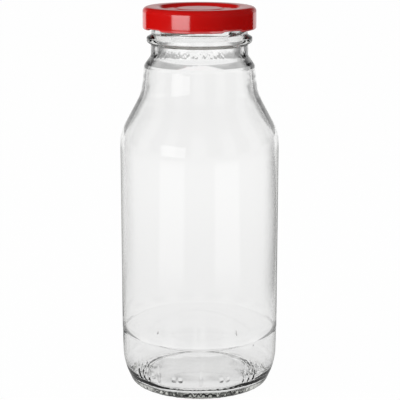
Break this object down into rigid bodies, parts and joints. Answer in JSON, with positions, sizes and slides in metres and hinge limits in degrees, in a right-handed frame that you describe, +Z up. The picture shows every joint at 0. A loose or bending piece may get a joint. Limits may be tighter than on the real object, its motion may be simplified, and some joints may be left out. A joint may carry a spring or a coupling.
{
  "type": "glass bottle with lid",
  "caption": "Small clear glass drinks bottle with a wide neck, a rounded shoulder and heel, and a red pressed metal twist-off lid.",
  "frame": {"origin": "on the bottle's axis, at the level of the ring that the base stands on", "axes": "+Z up along the bottle's axis towards the lid, -Y towards the front, +X to the right seen from the front"},
  "size_m": [0.065, 0.0652, 0.1571],
  "materials": {
    "clear_glass": "clear, smooth, slightly uneven inside",
    "red_tinplate": "glossy baked enamel"
  },
  "bodies": {
    "root": {"bottle": "clear_glass", "lid": "red_tinplate"}
  },
  "joints": []
}
